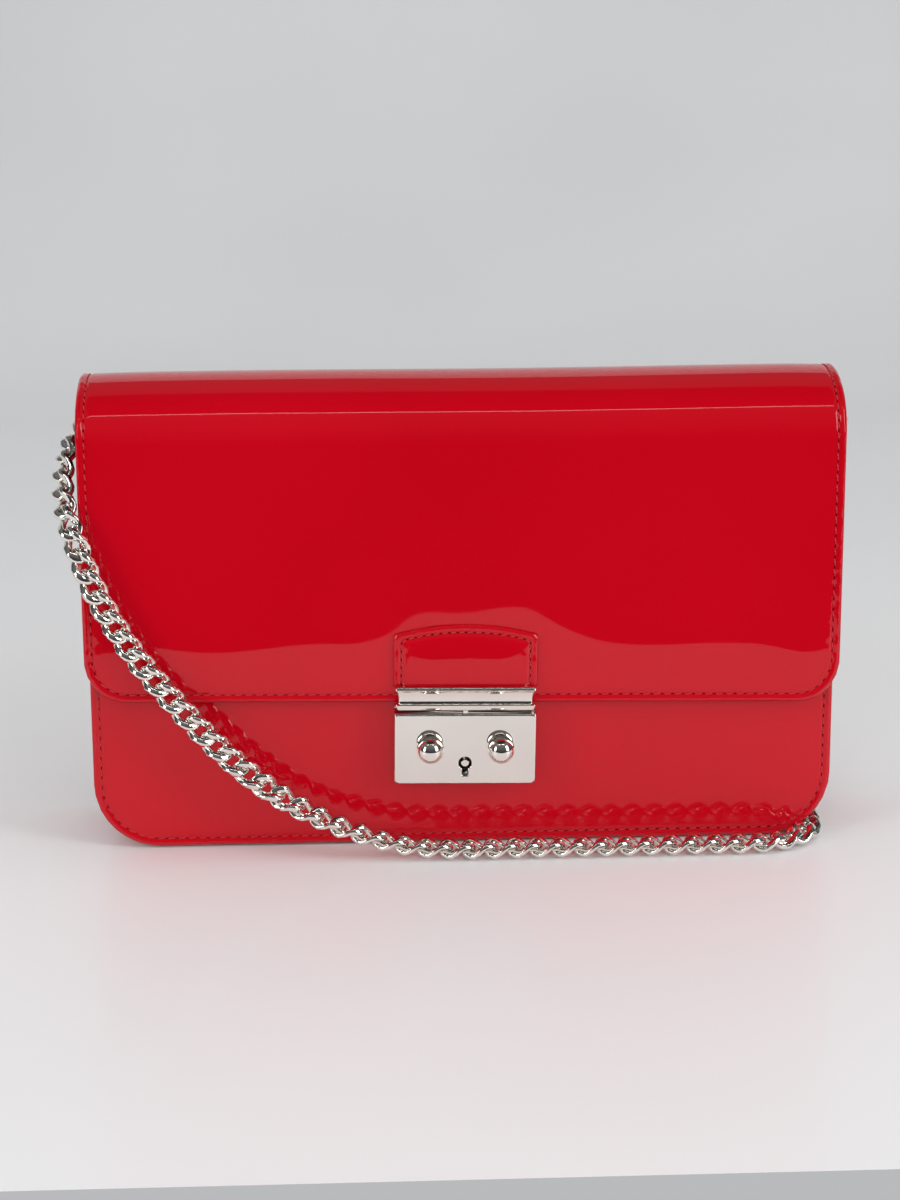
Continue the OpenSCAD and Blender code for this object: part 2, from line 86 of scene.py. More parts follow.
# ---------------------------------------------------------------- materials
class Shader:
    """A node material in the making: its nodes, its links and its Principled shader."""

    def __init__(self, name):
        self.mat = bpy.data.materials.new(name)
        self.mat.use_nodes = True
        self.nodes = self.mat.node_tree.nodes
        self.links = self.mat.node_tree.links
        self.bsdf = self.nodes["Principled BSDF"]

    def set(self, **values):
        """Sets plain values on the shader's own sockets; an underscore stands for a space."""
        for name, value in values.items():
            self.bsdf.inputs[name.replace("_", " ")].default_value = value

    def texture(self, kind, stretch=None, **values):
        """A texture in object space, stretched along its axes if asked."""
        place = self.nodes.new("ShaderNodeTexCoord").outputs["Object"]
        tex = self.nodes.new("ShaderNodeTex" + kind)
        for name, value in values.items():
            tex.inputs[name].default_value = value
        if stretch:
            mapping = self.nodes.new("ShaderNodeMapping")
            mapping.inputs["Scale"].default_value = stretch
            self.links.new(place, mapping.inputs["Vector"])
            place = mapping.outputs["Vector"]
        self.links.new(place, tex.inputs["Vector"])
        return tex

    def noise(self, scale, detail=3.0, rough=0.5, stretch=None):
        return self.texture("Noise", stretch, Scale=scale, Detail=detail, Roughness=rough).outputs["Fac"]

    def wave(self, direction, scale):
        tex = self.texture("Wave", Scale=scale)
        tex.bands_direction = direction
        return tex.outputs["Fac"]

    def ramp(self, source, dark, light, start=0.3, end=0.7, socket="Base Color"):
        """Colours from dark to light along a value, into one of the shader's sockets."""
        node = self.nodes.new("ShaderNodeValToRGB")
        for element, place, colour in zip(node.color_ramp.elements, (start, end), (dark, light)):
            element.position = place
            element.color = (*colour, 1)
        self.links.new(source, node.inputs["Fac"])
        self.links.new(node.outputs["Color"], self.bsdf.inputs[socket])

    def bump(self, height, strength, distance, after=None, socket="Normal"):
        """Relief from a value, into one of the shader's normal sockets."""
        node = self.nodes.new("ShaderNodeBump")
        node.inputs["Strength"].default_value = strength
        node.inputs["Distance"].default_value = distance
        self.links.new(height, node.inputs["Height"])
        if after:
            self.links.new(after, node.inputs["Normal"])
        self.links.new(node.outputs["Normal"], self.bsdf.inputs[socket])
        return node.outputs["Normal"]


def scalar(tree, operation, a, b, clamp=False):
    """One step of arithmetic on values or plain numbers."""
    node = tree.nodes.new("ShaderNodeMath")
    node.operation = operation
    node.use_clamp = clamp
    for slot, value in zip(node.inputs, (a, b)):
        if isinstance(value, (int, float)):
            slot.default_value = value
        else:
            tree.links.new(value, slot)
    return node.outputs[0]


def patent_leather():
    """Dyed leather under a clear lacquer; it puckers a little beside the stitches."""
    shader = Shader("patent_leather")
    shader.ramp(shader.noise(14, 2), (0.475, 0.0008, 0.0075), (0.515, 0.0012, 0.0100))
    shader.set(Roughness=0.42, Specular_IOR_Level=0.0, Coat_Weight=1.0, Coat_Roughness=0.025, Coat_IOR=1.43)
    edge = shader.nodes.new("ShaderNodeAttribute")
    edge.attribute_name = "edge_mm"
    near = scalar(shader, "MULTIPLY", edge.outputs["Fac"], -0.28)
    near = scalar(shader, "ADD", near, 1.25, clamp=True)
    pull = scalar(shader, "MULTIPLY", shader.noise(330, 1), near)
    ripple = shader.bump(shader.noise(38, 1), 0.05, 0.002)
    shader.bump(pull, 0.5, 0.0006, ripple, "Coat Normal")
    shader.bump(shader.noise(900, 2), 0.04, 0.0002, ripple)
    return shader.mat


def edge_paint():
    shader = Shader("edge_paint")
    cloud = shader.noise(160, 2)
    shader.ramp(cloud, (0.42, 0.004, 0.014), (0.55, 0.02, 0.035))
    shader.set(Roughness=0.28, Coat_Weight=0.5, Coat_Roughness=0.15)
    shader.bump(cloud, 0.3, 0.0002)
    return shader.mat


def thread_material():
    shader = Shader("thread")
    ply_and_glint = shader.wave("DIAGONAL", 900)
    # The diagonal bands are partly the thread's ply and partly painted glint: their light pink end is a painted
    # highlight.
    shader.ramp(ply_and_glint, (0.40, 0.003, 0.010), (0.66, 0.05, 0.06), 0.1, 0.9)
    shader.set(Roughness=0.45, Specular_IOR_Level=0.25)
    shader.bump(ply_and_glint, 0.5, 0.0001)
    return shader.mat


def hole_shade_material():
    shader = Shader("needle_hole_shade")
    # Needle holes are flat dark discs on the leather: the dark colour is painted shade of the pits.
    shader.ramp(shader.noise(700, 1), (0.06, 0.0, 0.002), (0.11, 0.001, 0.004))
    shader.set(Roughness=0.7, Specular_IOR_Level=0.1)
    return shader.mat


def lining_leather():
    shader = Shader("lining_leather")
    cells = shader.texture("Voronoi", Scale=900)
    cells.feature = "DISTANCE_TO_EDGE"
    shader.ramp(shader.noise(45, 3), (0.24, 0.006, 0.012), (0.32, 0.01, 0.018))
    shader.set(Roughness=0.55, Sheen_Weight=0.15)
    shader.bump(cells.outputs["Distance"], 0.35, 0.0003)
    return shader.mat


def polished_metal(name="polished_metal", tint=(0.93, 0.885, 0.83), rough=0.045):
    """Metal with fine scratches along its height and a slightly uneven tone."""
    shader = Shader(name)
    scratch = shader.noise(240, 5, 0.7, (1.0, 1.0, 14.0))
    shader.ramp(shader.noise(55, 3), tuple(c * 0.94 for c in tint), tint)
    shader.ramp(scratch, (rough,) * 3, (rough * 2.4,) * 3, 0.4, 0.75, "Roughness")
    shader.set(Metallic=1.0)
    shader.bump(scratch, 0.03, 0.0002)
    return shader.mat


def woven(name, dark, light, threads):
    shader = Shader(name)
    weave = scalar(shader, "MULTIPLY", shader.wave("X", threads), shader.wave("Z", threads))
    shader.ramp(weave, dark, light, 0.0, 0.8)
    shader.set(Roughness=0.85, Sheen_Weight=0.3)
    shader.bump(weave, 0.6, 0.0002)
    return shader.mat


def board_material():
    shader = Shader("leather_board")
    shader.ramp(shader.noise(400, 4, 0.7), (0.30, 0.20, 0.12), (0.5, 0.38, 0.26))
    shader.set(Roughness=0.9)
    return shader.mat


PATENT = patent_leather()
EDGE = edge_paint()
THREAD = thread_material()
HOLE_SHADE = hole_shade_material()
LINING = lining_leather()
METAL = polished_metal()
BRASS = polished_metal("machined_brass", (0.72, 0.5, 0.2), 0.25)
STEEL = polished_metal("satin_steel", (0.55, 0.55, 0.56), 0.3)
TAPE = woven("zip_tape", (0.12, 0.003, 0.006), (0.3, 0.012, 0.02), 700)
COTTON = woven("cotton_tape", (0.5, 0.49, 0.47), (0.86, 0.85, 0.82), 500)
BOARD = board_material()
SHEET_MATS = [PATENT, EDGE, LINING]
LINING_MATS = [LINING] * 3


# ---------------------------------------------------------------- mesh helpers
def mesh_piece(name, verts, faces, mats, face_mats=None, edge=None, smooth=True):
    mesh = bpy.data.meshes.new(name)
    mesh.from_pydata([tuple(v) for v in verts], [], faces)
    for mat in mats:
        mesh.materials.append(mat)
    if face_mats:
        mesh.polygons.foreach_set("material_index", face_mats)
    mesh.polygons.foreach_set("use_smooth", [smooth] * len(faces))
    if edge:
        layer = mesh.attributes.new("edge_mm", "FLOAT", "POINT")
        layer.data.foreach_set("value", edge)
    mesh.update()
    piece = bpy.data.objects.new(name, mesh)
    bpy.context.scene.collection.objects.link(piece)
    return piece


def face_outwards(piece):
    """Makes the normals of a closed mesh point outwards."""
    bm = bmesh.new()
    bm.from_mesh(piece.data)
    bmesh.ops.recalc_face_normals(bm, faces=bm.faces)
    bm.to_mesh(piece.data)
    bm.free()


def ride_as(piece, body, slot, *nodes):
    """Puts a piece on a body in place of the CAD nodes named; slot is not used."""
    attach(piece, body)
    if nodes:
        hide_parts(*nodes)


def join_lists(parts):
    """Joins (verts, faces) lists into one."""
    verts, faces = [], []
    for part_verts, part_faces in parts:
        first = len(verts)
        verts.extend(part_verts)
        faces.extend(tuple(first + i for i in face) for face in part_faces)
    return verts, faces


def loft(rings, closed=False, caps=True):
    """Faces over equal rings of points; closed joins the last ring to the first."""
    count = len(rings[0])
    verts = [p for ring in rings for p in ring]
    faces = []
    last = len(rings) if closed else len(rings) - 1
    for i in range(last):
        a = i * count
        b = ((i + 1) % len(rings)) * count
        for k in range(count):
            n = (k + 1) % count
            faces.append((a + k, a + n, b + n, b + k))
    if caps and not closed:
        faces.append(tuple(range(count))[::-1])
        faces.append(tuple(range(len(verts) - count, len(verts))))
    return verts, faces


def frames_along(points):
    """Two directions across a line at each of its points, with no twist between them."""
    out = []
    side = None
    for i in range(len(points)):
        tangent = (points[min(i + 1, len(points) - 1)] - points[max(i - 1, 0)]).normalized()
        if side is None:
            side = tangent.cross(Vector((0, 0, 1)) if abs(tangent.z) < 0.9 else Vector((0, 1, 0)))
        side = (side - tangent * side.dot(tangent)).normalized()
        out.append((side, tangent.cross(side)))
    return out


def rod(points, radii, sides):
    """A round rod through points, with a radius for each."""
    turn = [2 * math.pi * k / sides for k in range(sides)]
    rings = []
    for p, r, (side, up) in zip(points, radii, frames_along(points)):
        rings.append([p + side * (r * math.cos(a)) + up * (r * math.sin(a)) for a in turn])
    return loft(rings)


def arc(cx, cz, r, start, end, steps):
    angles = [math.radians(start + (end - start) * i / steps) for i in range(steps + 1)]
    return [(cx + r * math.cos(a), cz + r * math.sin(a)) for a in angles]


def smooth_line(route, step):
    """Points about every step along a smooth curve through the route."""
    pts = [Vector(p) for p in route]
    pts = [2 * pts[0] - pts[1]] + pts + [2 * pts[-1] - pts[-2]]
    fine = []
    for a, b, c, d in zip(pts, pts[1:], pts[2:], pts[3:]):
        for k in range(16):
            t = k / 16
            fine.append(0.5 * ((2 * b) + (c - a) * t + (2 * a - 5 * b + 4 * c - d) * t * t
                               + (3 * b - a - 3 * c + d) * t ** 3))
    fine.append(pts[-2])
    return even_line(fine, step)


def even_line(fine, step):
    """The same line with points at an even spacing close to step."""
    lengths = [0.0]
    for a, b in zip(fine, fine[1:]):
        lengths.append(lengths[-1] + (b - a).length)
    count = max(1, round(lengths[-1] / step))
    out = []
    k = 0
    for i in range(count + 1):
        want = lengths[-1] * i / count
        while k < len(lengths) - 2 and lengths[k + 1] < want:
            k += 1
        span = max(lengths[k + 1] - lengths[k], 1e-12)
        out.append(fine[k].lerp(fine[k + 1], (want - lengths[k]) / span))
    return out


def line_length(points):
    return sum((b - a).length for a, b in zip(points, points[1:]))


# ---------------------------------------------------------------- camera
def place_camera():
    data = bpy.data.cameras.new("camera")
    data.sensor_fit = "VERTICAL"
    data.sensor_height = 36
    distance = 0.700
    data.lens = 82.1
    data.clip_start = 0.01
    camera = bpy.data.objects.new("camera", data)
    bpy.context.scene.collection.objects.link(camera)
    elevation = math.radians(14.6)
    azimuth = math.radians(-2.45)
    roll = math.radians(-0.3)
    target = Vector((-0.0036, flap_y, 0.0669))
    away = Vector((math.sin(azimuth) * math.cos(elevation), -math.cos(azimuth) * math.cos(elevation),
                   math.sin(elevation)))
    camera.location = target + away * distance
    turn = (-away).to_track_quat("-Z", "Y").to_matrix().to_4x4()
    camera.matrix_world = Matrix.Translation(camera.location) @ turn @ Matrix.Rotation(roll, 4, "Z")
    bpy.context.scene.camera = camera


place_camera()

# ---------------------------------------------------------------- chain strap
LINK_PITCH = 5.8 * MM
LINK_LENGTH = 10.0 * MM
LINK_WIDTH = 7.0 * MM
WIRE = 2.1 * MM
LINK_TWIST = math.radians(-43)
LINK_FLATTEN = 0.80
LINK_FLAT = 0.5
LINK_CHAMFER = 0.34
END_LINKS = 3

FRONT_ROUTE = [
    (-100.8, 0.5, 104.5), (-101.6, -5, 100), (-101.4, -10.5, 95.5), (-100.3, -15.5, 90.5),
    (-98, -18.2, 84), (-93.5, -18.8, 71.5), (-85.2, -18.8, 56.2), (-75, -19, 42.8), (-63, -19.3, 29.3),
    (-53, -19.8, 20.4), (-42.8, -20.6, 13.6), (-30, -21.6, 7.6), (-17, -22.4, 3.8), (-4, -22.8, 2.4),
    (15, -22.8, 2.4), (40, -22.8, 2.4), (60, -22.6, 2.4), (72, -22.6, 2.4), (80, -21.8, 2.4),
    (86.5, -18, 2.4), (90.6, -13, 2.4), (91.6, -8.5, 2.4), (91.6, 4, 2.4), (91.6, 18, 2.4),
    (91.2, 25, 2.4), (88.5, 29, 2.4), (83, 29, 2.4), (75, 28.6, 2.4), (58, 28.5, 2.4),
]
REAR_ROUTE = [
    (44, 71, 2.6), (56, 69, 5), (67, 63, 7.4), (76, 55.5, 8), (83.5, 47.5, 8), (90, 40.5, 12.5),
    (94.5, 35, 19.5), (97.5, 30.5, 29.5), (99.2, 27, 40.5), (99.8, 24, 52), (99.8, 21.5, 64),
    (99.8, 19.5, 76), (99.8, 18, 88), (99.7, 16.6, 99), (99.6, 15.4, 103.5),
]


def hank_turns():
    """One and a half turns of the folded chain, outermost first, from the front run inwards."""
    radius = 24.6
    pitch = 6.6
    half = 50
    cx = (hank_low.x + hank_high.x) / 2 / MM
    cy = (hank_low.y + hank_high.y) / 2 / MM
    left, right = cx - half, cx + half
    z = 2.5
    out = [(x, cy - radius, z) for x in (45, 25, 5, -15, -32)]
    out += [(x, y, z) for x, y in arc(left, cy, radius, 270, 90, 12)]
    out += [(x, cy + radius, z) for x in (-25, 0, 20, 42)]
    out += [(x, y, z) for x, y in arc(right, cy + pitch / 2, radius - pitch / 2, 90, -90, 12)]
    out += [(x, cy - radius + pitch, z) for x in (42, 20, 0, -25)]
    out += [(x, y, z) for x, y in arc(left, cy, radius - pitch, 270, 90, 12)]
    out += [(x, cy + radius - pitch, z) for x in (-25, -5, 15, 30)]
    return out


def ring_tip(side):
    """Where the chain's last link hangs in a strap ring."""
    pivot = Vector(joints["left_ring_hinge" if side < 0 else "right_ring_hinge"]["pos_m"])
    tilt = math.radians(60)
    reach = 4.6 * MM
    return pivot + Vector((side * math.cos(tilt) * reach, 0, math.sin(tilt) * reach))


def chain_line():
    start = ring_tip(-1) / MM
    end = ring_tip(1) / MM
    first = [tuple(start), (start.x - 1.0, start.y - 1.0, start.z - 2.4)]
    last = [(end.x + 0.4, end.y + 4.5, end.z - 2.0), tuple(end)]
    route = first + FRONT_ROUTE + hank_turns() + REAR_ROUTE + last
    return smooth_line([Vector(p) * MM for p in route], LINK_PITCH)


def flat_normals(points):
    """The way the chain's flat side faces: off the leather, then up on the floor."""
    out = []
    for p in points:
        height = min(max((p.z - 0.006) / 0.03, 0), 1)
        ahead = p.y < 0.01
        wall = Vector((-0.15, -1, 0.1)) if ahead else Vector((0.6, 0.8, 0.1))
        if ahead and p.z > 0.09:
            wall = Vector((-0.8, -0.6, 0.1))
        out.append((wall * height + Vector((0, 0, 1)) * (1 - height)).normalized())
    for _ in range(4):
        before = out[:1] + out[:-1]
        after = out[1:] + out[-1:]
        out = [(a + n + b).normalized() for a, n, b in zip(before, out, after)]
    return out


def link_rings():
    """One curb link along X: a flattened wire oval whose two ends are twisted opposite ways."""
    bend = (LINK_WIDTH - WIRE) / 2
    straight = LINK_LENGTH / 2 - WIRE / 2 - bend
    steps = 9
    line = []
    for end in (1, -1):
        for i in range(steps + 1):
            a = math.pi * (i / steps - 0.5)
            line.append(Vector((end * (straight + bend * math.cos(a)), end * bend * math.sin(a), 0)))
        line.append(Vector((0, end * bend, 0)))
    rings = []
    count = len(line)
    section = [(LINK_FLAT, -LINK_CHAMFER), (LINK_FLAT, LINK_CHAMFER), (LINK_CHAMFER, LINK_FLAT),
               (-LINK_CHAMFER, LINK_FLAT), (-LINK_FLAT, LINK_CHAMFER), (-LINK_FLAT, -LINK_CHAMFER),
               (-LINK_CHAMFER, -LINK_FLAT), (LINK_CHAMFER, -LINK_FLAT)]
    for i, p in enumerate(line):
        tangent = (line[(i + 1) % count] - line[i - 1]).normalized()
        side = tangent.cross(Vector((0, 0, 1)))
        share = max(-1, min(1, p.x / (straight + 0.45 * bend)))
        turn = Matrix.Rotation(LINK_TWIST * math.sin(share * math.pi / 2), 3, "X")
        ring = [turn @ (p + (side * a + Vector((0, 0, b))) * WIRE) for a, b in section]
        rings.append([Vector((q.x, q.y, q.z * LINK_FLATTEN)) for q in ring])
    return rings


def links_on(line, normals, first, last):
    rings = link_rings()
    parts = []
    for i in range(first, last):
        middle = (line[i] + line[i + 1]) / 2
        tangent = (line[i + 1] - line[i]).normalized()
        normal = normals[i] - tangent * normals[i].dot(tangent)
        normal.normalize()
        side = normal.cross(tangent)
        basis = Matrix((tangent, side, normal)).transposed()
        parts.append(loft([[middle + basis @ p for p in ring] for ring in rings], closed=True))
    return join_lists(parts)


def make_chain():
    line = chain_line()
    normals = flat_normals(line)
    count = len(line) - 1
    pieces = []
    spans = (("chain_links", END_LINKS, count - END_LINKS), ("chain_end_left", 0, END_LINKS),
             ("chain_end_right", count - END_LINKS, count))
    for name, first, last in spans:
        verts, faces = links_on(line, normals, first, last)
        piece = mesh_piece(name, verts, faces, [METAL])
        pieces.append(piece)
    chain, left, right = pieces
    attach(chain, "bag")
    tuple(line[END_LINKS])
    tuple(line[1])
    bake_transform(left)
    tuple(line[-END_LINKS - 1])
    tuple(line[-2])
    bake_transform(right)
    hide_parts("chain_front", "chain_hank", "chain_rear")
    return chain, left, right, line


def make_tie():
    low, high = low_high("chain_tie")
    mid_x = (low.x + high.x) / 2
    half = (high.x - low.x) / 2
    y0, y1 = low.y, high.y
    top = high.z
    line = [(y0 + 0.003, 0.0003), (y0 + 0.0008, 0.0012), (y0 + 0.0004, 0.0034), (y0 + 0.0010, top - 0.0006),
            (y0 + 0.004, top)]
    steps = 9
    for i in range(1, steps):
        t = i / steps
        line.append((y0 + 0.004 + (y1 - y0 - 0.008) * t, top - 0.0016 * math.sin(math.pi * t)))
    line += [(y1 - 0.004, top), (y1 - 0.0010, top - 0.0006), (y1 - 0.0004, 0.0034), (y1 - 0.0008, 0.0012),
             (y1 - 0.003, 0.0003)]
    rings = []
    count = len(line)
    for i, (y, z) in enumerate(line):
        a, b = line[i - 1], line[(i + 1) % count]
        along = Vector((0, b[0] - a[0], b[1] - a[1])).normalized()
        out = Vector((0, -along.z, along.y)) * -0.00025
        p = Vector((mid_x, y, z))
        rings.append([p + Vector((-half, 0, 0)) + out, p + out * 1.2, p + Vector((half, 0, 0)) + out,
                      p + Vector((half, 0, 0)) - out, p - out * 0.8, p + Vector((-half, 0, 0)) - out])
    verts, faces = loft(rings, closed=True)
    for v in verts:
        v.z = max(v.z, 0.00005)
    piece = mesh_piece("tie_band", verts, faces, [COTTON])
    ride_as(piece, "bag", "tie_fabric", "chain_tie")
    return piece


chain, chain_left, chain_right, strap_line = make_chain()
tie = make_tie()
strap_length = line_length(strap_line)
tuple(strap_line[0])
[tuple(p) for p in strap_line]


# ---------------------------------------------------------------- leather sheets
INSETS = [0, 0.15, 0.4, 0.8, 1.3, 1.7, 2.1, 2.5, 2.9, 3.6, 4.8, 7, 10, 14]


def edge_distance(x, s, half, corner, top=None):
    """Distance in from the outline, in mm, for a sheet with two round bottom corners."""
    dx = half - abs(x)
    if s < corner and dx < corner:
        d = corner - math.hypot(corner - dx, corner - s)
    else:
        d = min(dx, s)
    if top is not None:
        d = min(d, top - s)
    return max(d, 0.0)


def edge_relief(d):
    """Height of the surface against the distance from its edge: a soft roll and a stitch channel."""
    roll = -0.38 * max(0.0, 1 - d / 0.7) ** 2
    channel = -0.30 * math.exp(-((d - 2.1) / 0.55) ** 2)
    pull = -0.55 * math.exp(-d / 9.0)
    return roll + channel + pull + 0.25 * math.exp(-((d - 1.0) / 0.6) ** 2)


def waves(x, s, size=1.0):
    """Slow ripples, in mm. The swell above the tab and the two hollows shape the reflection; they are a guess."""
    low = math.exp(-(s / 45) ** 2)
    broad = 0.13 * math.sin(x / 25 - s / 26 + 2.6) + 0.06 * math.sin(x / 12.5 + s / 24 + 0.6)
    fine = 0.035 * math.sin(x / 7.1 + 1.3) * math.sin(s / 11.0 + x / 60)
    swell = 0.60 * math.exp(-((x - 2) / 25) ** 4) * math.exp(-((s - 37) / 14) ** 2)
    swell -= 0.26 * math.exp(-((x - 62) / 34) ** 4) * math.exp(-((s - 32) / 14) ** 2)
    swell -= 0.10 * math.exp(-((x + 62) / 22) ** 2) * math.exp(-((s - 30) / 14) ** 2)
    return size * ((0.35 + 0.65 * low) * broad + fine * low + swell)


def spread(values, length, step):
    """Inset values from one end, then even steps, up to the length."""
    first = [v for v in values if v < length / 2]
    count = max(1, round((length - first[-1]) / step))
    return first + [first[-1] + (length - first[-1]) * i / count for i in range(1, count + 1)]


def corner_reach(end, half, corner):
    """Half width of a sheet at a distance from an end that has round corners."""
    if end >= corner:
        return half
    return half - corner + math.sqrt(max(corner ** 2 - (corner - end) ** 2, 0))


def sheet_columns(half, step):
    """Columns as (side, inset) near each side, and as (0, share of the width) between them."""
    inner = round((half - INSETS[-1]) / step)
    columns = [(-1, i) for i in INSETS]
    columns += [(0, -1 + k / inner) for k in range(1, 2 * inner)]
    return columns + [(1, i) for i in reversed(INSETS)]


def grid_sheet(name, half, rows, columns, shape, place, depths, mats, relief, wave):
    """A closed sheet over a grid. place(x, s, depth) gives a point; depth grows into the bag.

    shape(s) gives the distance from the nearer end, that end's corner and the end to measure edges to.
    """
    outer, under, edge = [], [], []
    for s in rows:
        end, corner, top = shape(s)
        reach = corner_reach(end, half, corner)
        scale = min(1, reach / half)
        for side, value in columns:
            x = side * (reach - value * scale) if side else value * (reach - INSETS[-1] * scale)
            d = edge_distance(x, end, half, corner, top)
            lift = relief * edge_relief(d) + waves(x, s, wave) * min(1, d / 12)
            outer.append(place(x, s, depths[0] - lift))
            under.append(place(x, s, depths[1]))
            edge.append(d)
    return close_grid(name, outer, under, edge, len(columns), len(rows), mats)


def close_grid(name, outer, under, edge, wide, tall, mats):
    """Joins two grids of points into a closed sheet with a rim."""
    verts = outer + under
    base = len(outer)
    faces, kinds = [], []
    for j in range(tall - 1):
        for i in range(wide - 1):
            a = j * wide + i
            faces.append((a, a + 1, a + wide + 1, a + wide))
            faces.append((base + a, base + a + wide, base + a + wide + 1, base + a + 1))
            kinds += [0, 2]
    rim = list(range(wide)) + [j * wide + wide - 1 for j in range(1, tall)]
    rim += [(tall - 1) * wide + i for i in range(wide - 2, -1, -1)]
    rim += [j * wide for j in range(tall - 2, 0, -1)]
    for a, b in zip(rim, rim[1:] + rim[:1]):
        faces.append((b, a, base + a, base + b))
        kinds.append(1)
    return mesh_piece(name, verts, faces, mats, kinds, edge + [20.0] * len(under))


def sheet_mesh(name, half, length, corner, place, thick, mats,
               top_edge=False, relief=1.0, wave=1.0, step=3.0):
    """A sheet with round bottom corners; top_edge gives it a rolled top edge too."""
    rows = spread(INSETS, length, step)
    if top_edge:
        rows = [s for s in rows if s < length - INSETS[-1]] + [length - i for i in reversed(INSETS)]
    top = length if top_edge else None
    return grid_sheet(name, half, rows, sheet_columns(half, step), lambda s: (s, corner, top), place,
                      (0.0, thick), mats, relief, wave)


def two_ended_sheet(name, half, length, corners, place, depths, mats, relief=1.0, wave=1.0):
    """A long wrapped sheet with round corners at both ends."""
    rows = [s for s in spread(INSETS, length, 2.2) if s < length - INSETS[-1] - 1]
    rows += [length - i for i in reversed(INSETS)]

    def shape(s):
        return (s, corners[0], None) if s < length / 2 else (length - s, corners[1], None)

    return grid_sheet(name, half, rows, sheet_columns(half, 3.2), shape, place, depths, mats, relief, wave)


def inset_line(half, length, corner, inset, top=False):
    """The stitch line: down the left side, round the bottom and up the right side."""
    r = corner - inset
    pts = [(-half + inset, length)]
    pts += [(x, s) for x, s in arc(-half + corner, corner, r, 180, 270, 10)]
    pts += [(x, s) for x, s in arc(half - corner, corner, r, 270, 360, 10)]
    pts.append((half - inset, length))
    if top:
        pts[0] = (-half + inset, length - inset)
        pts[-1] = (half - inset, length - inset)
        pts.append((-half + inset, length - inset))
    return [Vector((x, s, 0)) for x, s in pts]


STITCH_INSET = 2.1


def stitches(name, line, place, pitch=2.7, level=None):
    """Slanted thread stitches with a flat dark disc of painted shade for the needle hole at each end; level is
    the sheet's depth under them.
    """
    if level is None:
        level = -edge_relief(STITCH_INSET)
    dots = even_line(line, pitch)
    thread, hole_shades = [], []
    for a, b in zip(dots, dots[1:]):
        along = (b - a).normalized()
        slant = Vector((-along.y, along.x, 0)) * 0.2
        pts = []
        for t, lift in ((0.17, -0.12), (0.27, 0.10), (0.5, 0.17), (0.73, 0.10), (0.83, -0.12)):
            q = a.lerp(b, t) + slant * (t - 0.5) * 2
            pts.append(place(q.x, q.y, level - lift))
        thread.append(rod(pts, [0.10 * MM, 0.19 * MM, 0.22 * MM, 0.19 * MM, 0.10 * MM], 7))
        # a flat dark disc at each stitch end: painted shade of the needle hole
        centre = place(a.x, a.y, level - 0.05)
        ahead = place(a.x + along.x * 0.4, a.y + along.y * 0.4, level - 0.05) - centre
        normal = (place(a.x, a.y, level - 1) - centre).normalized()
        side = normal.cross(ahead)
        ring = [centre + ahead * math.cos(k * math.pi / 4) * 0.95 + side * math.sin(k * math.pi / 4) * 0.8
                for k in range(8)]
        hole_shades.append((ring, [tuple(range(8))]))
    verts, faces = join_lists(thread)
    hole_shade_verts, hole_shade_faces = join_lists(hole_shades)
    first = len(verts)
    kinds = [0] * len(faces) + [1] * len(hole_shade_faces)
    faces = faces + [tuple(first + i for i in f) for f in hole_shade_faces]
    return mesh_piece(name, verts + hole_shade_verts, faces, [THREAD, HOLE_SHADE], kinds)


# the flap's profile in mm behind its face: three tangent arcs between the front and the hinge
FLAP_DEPTH = (back_y - flap_y) / MM
FLAP_LOW = 39.4
# the crown arc: depth and height of its centre, and radius; 0.8 mm higher than in the CAD model
CROWN = (21.5, 91.0, 32.0)
FRONT_R = 13.0
BACK_R = 9.0


def flap_profile():
    """Points, in (depth, height), from the front bottom edge over the mouth and down the back."""
    front_z = CROWN[1] + math.sqrt((CROWN[2] - FRONT_R) ** 2 - (CROWN[0] - FRONT_R) ** 2)
    back_x = FLAP_DEPTH - BACK_R
    back_z = CROWN[1] + math.sqrt((CROWN[2] - BACK_R) ** 2 - (back_x - CROWN[0]) ** 2)
    front_angle = math.degrees(math.atan2(front_z - CROWN[1], FRONT_R - CROWN[0]))
    back_angle = math.degrees(math.atan2(back_z - CROWN[1], back_x - CROWN[0]))
    pts = [(0, FLAP_LOW), (0, 60), (0, 80)]
    pts += arc(FRONT_R, front_z, FRONT_R, 180, front_angle, 24)
    pts += arc(CROWN[0], CROWN[1], CROWN[2], front_angle, back_angle, 24)[1:]
    pts += arc(back_x, back_z, BACK_R, back_angle, 0, 18)[1:]
    pts += [(FLAP_DEPTH, 70), (FLAP_DEPTH, 30), (FLAP_DEPTH, base_z / MM)]
    return pts


PROFILE = flap_profile()
PROFILE_AT = [0.0]
for (a0, b0), (a1, b1) in zip(PROFILE, PROFILE[1:]):
    PROFILE_AT.append(PROFILE_AT[-1] + math.hypot(a1 - a0, b1 - b0))
SHELL_LENGTH = PROFILE_AT[-1]
HINGE_AT = SHELL_LENGTH - (hinge.z - base_z) / MM


def on_profile(s):
    """Point and outward normal of the flap's side profile at s mm from the front edge."""
    s = min(max(s, 0.0), SHELL_LENGTH)
    k = 0
    while k < len(PROFILE_AT) - 2 and PROFILE_AT[k + 1] < s:
        k += 1
    t = (s - PROFILE_AT[k]) / (PROFILE_AT[k + 1] - PROFILE_AT[k])
    (y0, z0), (y1, z1) = PROFILE[k], PROFILE[k + 1]
    dy, dz = y1 - y0, z1 - z0
    size = math.hypot(dy, dz)
    normals = []
    for j in (k - 1, k + 1):
        j = min(max(j, 0), len(PROFILE) - 2)
        ey = PROFILE[j + 1][0] - PROFILE[j][0]
        ez = PROFILE[j + 1][1] - PROFILE[j][1]
        long = math.hypot(ey, ez)
        normals.append(((dy / size + ey / long) / 2, (dz / size + ez / long) / 2))
    ty = normals[0][0] * (1 - t) + normals[1][0] * t
    tz = normals[0][1] * (1 - t) + normals[1][1] * t
    size = math.hypot(ty, tz)
    return (y0 + dy * t, z0 + dz * t), (-tz / size, ty / size)


